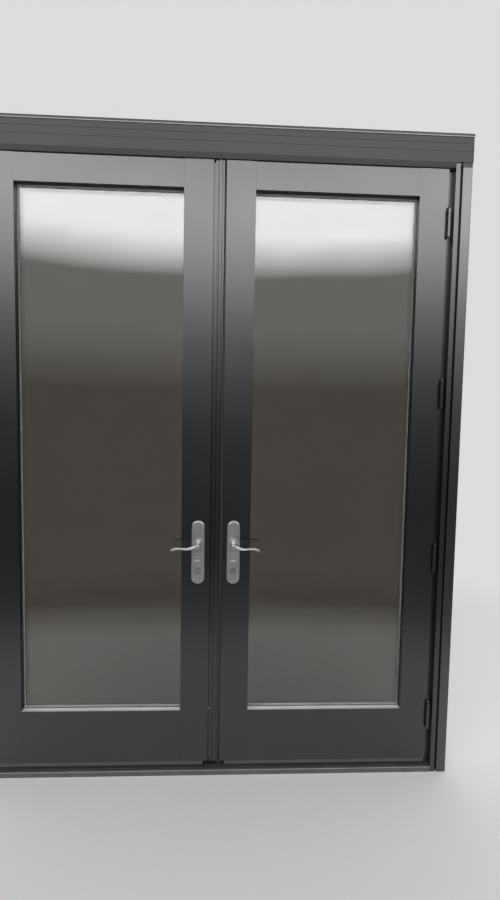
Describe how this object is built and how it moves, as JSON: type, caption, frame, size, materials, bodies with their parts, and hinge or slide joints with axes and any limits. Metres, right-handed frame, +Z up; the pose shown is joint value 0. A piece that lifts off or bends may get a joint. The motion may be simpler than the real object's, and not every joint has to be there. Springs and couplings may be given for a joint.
{
  "type": "french doors",
  "caption": "Glazed french doors that open outwards in their own frame, with casing, drip cap and sill, a moulded meeting post, barrel hinges and lever handles on tall plates.",
  "frame": {"origin": "underside of the sill, on the centre line of the doorway, below the outside faces of the closed leaves", "axes": "+Z up, +Y into the house, +X to the right as seen from outside"},
  "size_m": [1.884, 0.171, 2.498],
  "materials": {
    "leaf_paint": "satin dark paint",
    "frame_paint": "satin dark paint",
    "casing_paint": "matt dark paint",
    "hinge_paint": "satin dark paint",
    "hinge_pin": "satin dark",
    "handle_metal": "satin",
    "lock_metal": "brushed",
    "bolt_metal": "brushed",
    "sill_metal": "dark anodised",
    "sweep_metal": "dark anodised",
    "cap_metal": "dark coated sheet",
    "spacer_metal": "satin",
    "clear_glass": "clear",
    "coated_glass": "grey, coated",
    "seal_rubber": "matt"
  },
  "bodies": {
    "frame": {"left_jamb": "frame_paint", "right_jamb": "frame_paint", "head_jamb": "frame_paint", "sill": "sill_metal", "left_casing": "casing_paint", "right_casing": "casing_paint", "head_casing": "casing_paint", "drip_cap": "cap_metal", "frame_seals": "seal_rubber", "frame_hinges": "hinge_paint", "hinge_pins": "hinge_pin", "rod_keeps": "lock_metal"},
    "left_leaf": {"left_hinge_stile": "leaf_paint", "left_lock_stile": "leaf_paint", "left_top_rail": "leaf_paint", "left_bottom_rail": "leaf_paint", "left_glazing_beads": "leaf_paint", "left_outer_pane": "clear_glass", "left_inner_pane": "coated_glass", "left_glass_spacer": "spacer_metal", "left_leaf_seals": "seal_rubber", "left_door_sweep": "sweep_metal", "left_leaf_hinges": "hinge_paint", "left_outside_plate": "handle_metal", "left_inside_plate": "handle_metal", "left_lock": "lock_metal", "left_cylinder": "lock_metal", "left_handle_screws": "lock_metal", "left_meeting_post": "leaf_paint", "left_strike": "lock_metal"},
    "left_handle": {"left_outside_lever": "handle_metal", "left_inside_lever": "handle_metal"},
    "left_turn": {"left_thumb_turn": "handle_metal"},
    "left_top_bolt": {"left_top_rod": "bolt_metal"},
    "left_bottom_bolt": {"left_bottom_rod": "bolt_metal"},
    "right_leaf": {"right_hinge_stile": "leaf_paint", "right_lock_stile": "leaf_paint", "right_top_rail": "leaf_paint", "right_bottom_rail": "leaf_paint", "right_glazing_beads": "leaf_paint", "right_outer_pane": "clear_glass", "right_inner_pane": "coated_glass", "right_glass_spacer": "spacer_metal", "right_leaf_seals": "seal_rubber", "right_door_sweep": "sweep_metal", "right_leaf_hinges": "hinge_paint", "right_outside_plate": "handle_metal", "right_inside_plate": "handle_metal", "right_lock": "lock_metal", "right_cylinder": "lock_metal", "right_handle_screws": "lock_metal"},
    "right_handle": {"right_outside_lever": "handle_metal", "right_inside_lever": "handle_metal"},
    "right_turn": {"right_thumb_turn": "handle_metal"},
    "right_top_bolt": {"right_top_rod": "bolt_metal"},
    "right_bottom_bolt": {"right_bottom_rod": "bolt_metal"},
    "right_latch_bolt": {"right_latch": "bolt_metal"},
    "right_lock_bolt": {"right_dead_bolt": "bolt_metal"}
  },
  "joints": [
    {"name": "left_leaf_hinge", "type": "hinge", "parent": "frame", "child": "left_leaf", "pos_m": [-0.8595, -0.008, 1.2075], "axis": [0, 0, -1], "range_deg": [0, 110]},
    {"name": "left_lever_turn", "type": "hinge", "parent": "left_leaf", "child": "left_handle", "pos_m": [-0.068, 0.0285, 0.935], "axis": [0, 1, 0], "range_deg": [-30, 45], "stiffness_Nm_per_rad": 4, "springref_deg": 2.86},
    {"name": "left_top_bolt_slide", "type": "slide", "parent": "left_leaf", "child": "left_top_bolt", "axis": [0, 0, 1], "range_m": [-0.014, 0.0201]},
    {"name": "left_bottom_bolt_slide", "type": "slide", "parent": "left_leaf", "child": "left_bottom_bolt", "axis": [0, 0, -1], "range_m": [-0.014, 0.0201]},
    {"name": "left_thumb_turn_spin", "type": "hinge", "parent": "left_leaf", "child": "left_turn", "pos_m": [-0.068, 0.0285, 0.828], "axis": [0, -1, 0], "range_deg": [0, 90]},
    {"name": "right_leaf_hinge", "type": "hinge", "parent": "frame", "child": "right_leaf", "pos_m": [0.8595, -0.008, 1.2075], "axis": [0, 0, 1], "range_deg": [0, 110]},
    {"name": "right_lever_turn", "type": "hinge", "parent": "right_leaf", "child": "right_handle", "pos_m": [0.068, 0.0285, 0.935], "axis": [0, -1, 0], "range_deg": [-30, 45], "stiffness_Nm_per_rad": 4, "springref_deg": 2.86},
    {"name": "right_top_bolt_slide", "type": "slide", "parent": "right_leaf", "child": "right_top_bolt", "axis": [0, 0, 1], "range_m": [-0.014, 0.0201]},
    {"name": "right_bottom_bolt_slide", "type": "slide", "parent": "right_leaf", "child": "right_bottom_bolt", "axis": [0, 0, -1], "range_m": [-0.014, 0.0201]},
    {"name": "right_thumb_turn_spin", "type": "hinge", "parent": "right_leaf", "child": "right_turn", "pos_m": [0.068, 0.0285, 0.828], "axis": [0, 1, 0], "range_deg": [0, 91]},
    {"name": "right_latch_slide", "type": "slide", "parent": "right_leaf", "child": "right_latch_bolt", "axis": [-1, 0, 0], "range_m": [-0.0095, 0.0141]},
    {"name": "right_lock_bolt_slide", "type": "slide", "parent": "right_leaf", "child": "right_lock_bolt", "axis": [-1, 0, 0], "range_m": [0, 0.02]}
  ],
  "couplings": [
    {"joint": "left_top_bolt_slide", "follows": "left_lever_turn", "m_per_rad": 0.025465},
    {"joint": "left_bottom_bolt_slide", "follows": "left_lever_turn", "m_per_rad": 0.025465},
    {"joint": "right_top_bolt_slide", "follows": "right_lever_turn", "m_per_rad": 0.025465},
    {"joint": "right_bottom_bolt_slide", "follows": "right_lever_turn", "m_per_rad": 0.025465},
    {"joint": "right_latch_slide", "follows": "right_lever_turn", "m_per_rad": 0.017825},
    {"joint": "right_thumb_turn_spin", "follows": "right_lock_bolt_slide", "rad_per_m": 78.54}
  ]
}
